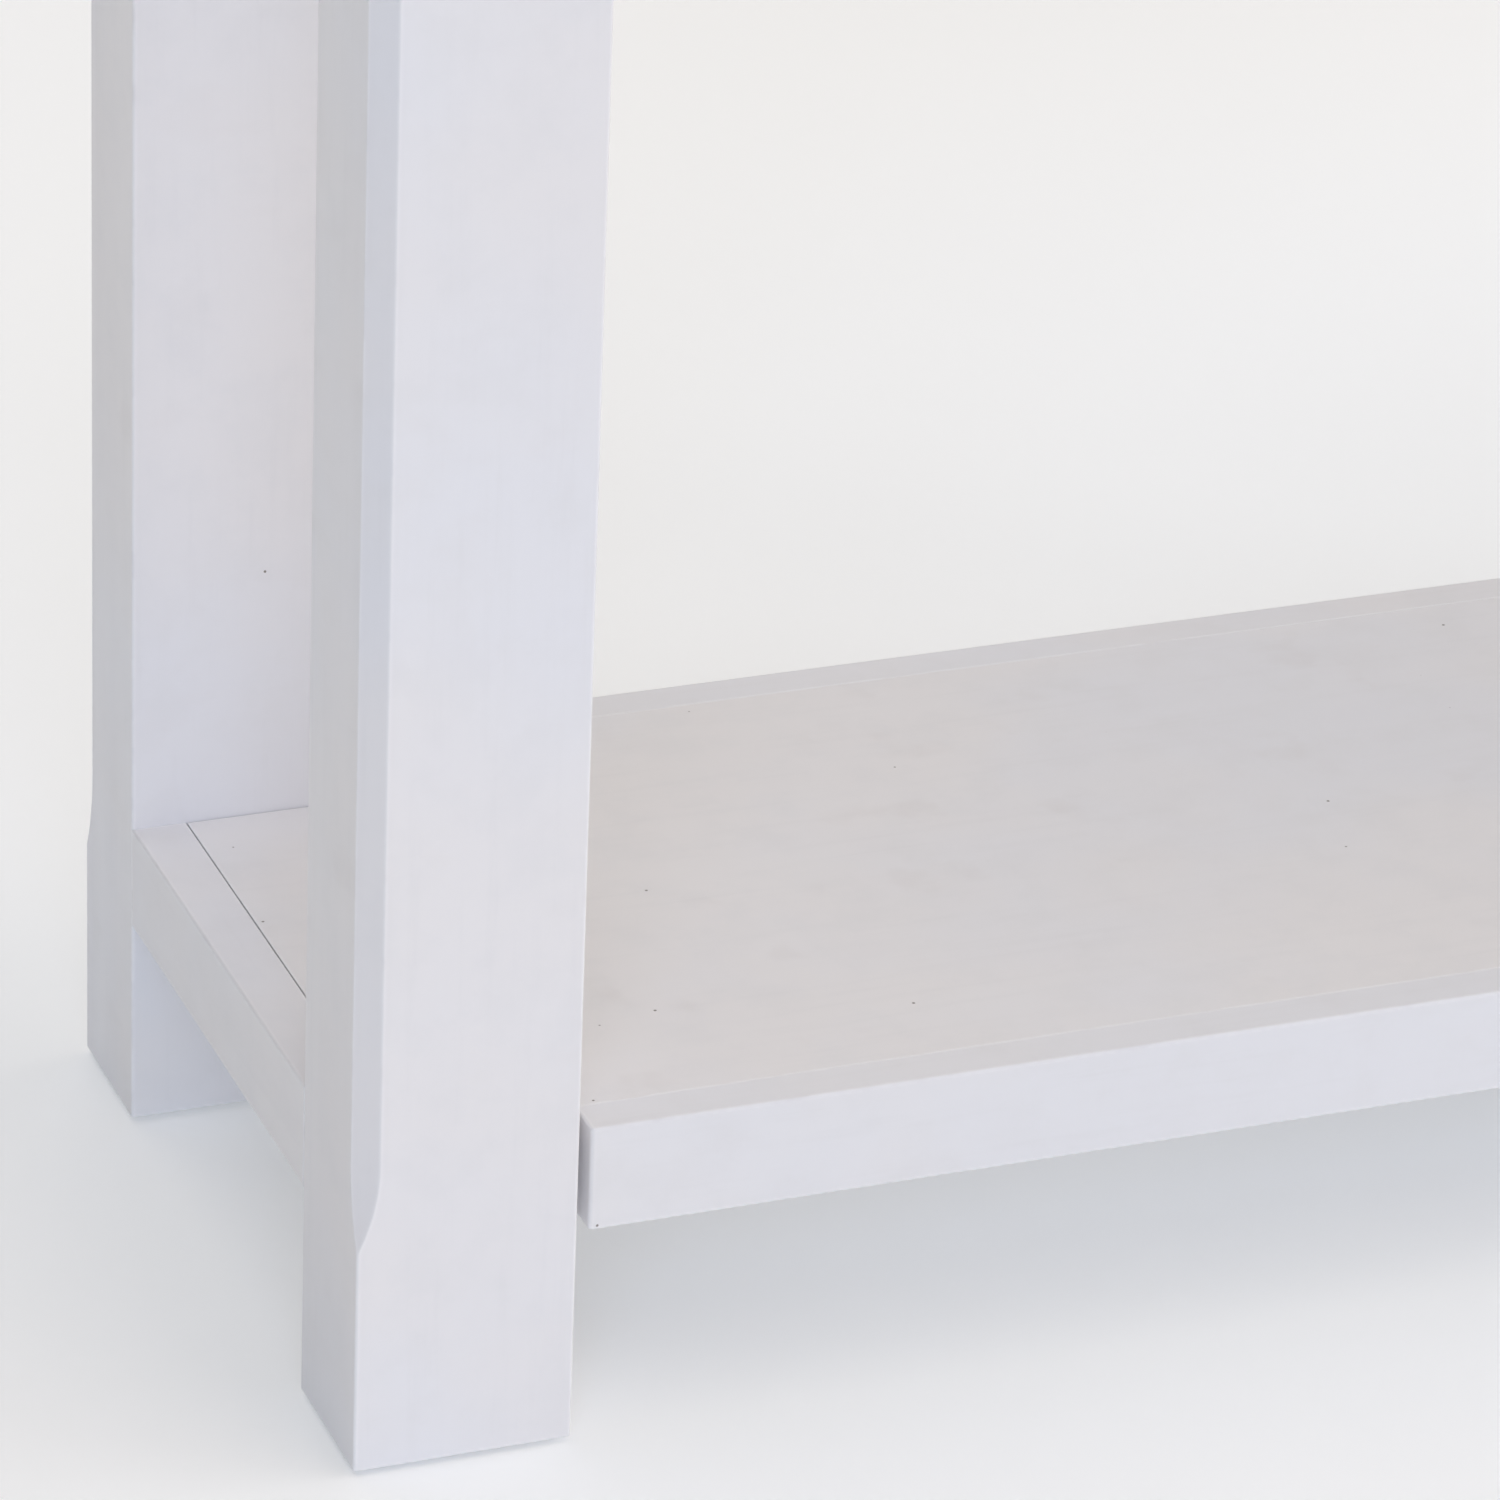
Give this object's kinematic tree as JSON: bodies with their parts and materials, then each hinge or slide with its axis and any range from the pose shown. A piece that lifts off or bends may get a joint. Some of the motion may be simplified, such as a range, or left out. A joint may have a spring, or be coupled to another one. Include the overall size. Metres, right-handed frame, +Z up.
{
  "type": "console table",
  "caption": "Slim white painted console table with stout chamfered legs, boards under the top and a low open shelf with thick edge strips.",
  "frame": {"origin": "middle of the footprint of the top, on the floor", "axes": "+X along the table's length, -Y towards its front, +Z up"},
  "size_m": [1, 0.3, 0.76],
  "materials": {
    "white_satin_paint": "satin white paint over board",
    "beech": "raw fluted dowel",
    "zinc_plated_steel": "bright zinc plate",
    "zinc_casting": "dull grey casting",
    "grey_nylon": "moulded nylon"
  },
  "bodies": {
    "root": {"top_panel": "white_satin_paint", "leg_front_left": "white_satin_paint", "leg_front_right": "white_satin_paint", "leg_back_left": "white_satin_paint", "leg_back_right": "white_satin_paint", "apron_front": "white_satin_paint", "apron_back": "white_satin_paint", "apron_left": "white_satin_paint", "apron_right": "white_satin_paint", "side_rail_left": "white_satin_paint", "side_rail_right": "white_satin_paint", "shelf_panel": "white_satin_paint", "shelf_front_edge": "white_satin_paint", "shelf_back_edge": "white_satin_paint", "shelf_cleat_left": "white_satin_paint", "shelf_cleat_right": "white_satin_paint", "shelf_batten": "white_satin_paint", "top_cleat_front": "white_satin_paint", "top_cleat_back": "white_satin_paint", "top_batten": "white_satin_paint", "apron_dowels": "beech", "rail_dowels": "beech", "cam_bolts": "zinc_plated_steel", "top_screws": "zinc_plated_steel", "apron_screws": "zinc_plated_steel", "shelf_screws": "zinc_plated_steel", "rail_screws": "zinc_plated_steel", "glide_nails": "zinc_plated_steel", "cam_locks": "zinc_casting", "foot_glides": "grey_nylon"}
  },
  "joints": []
}
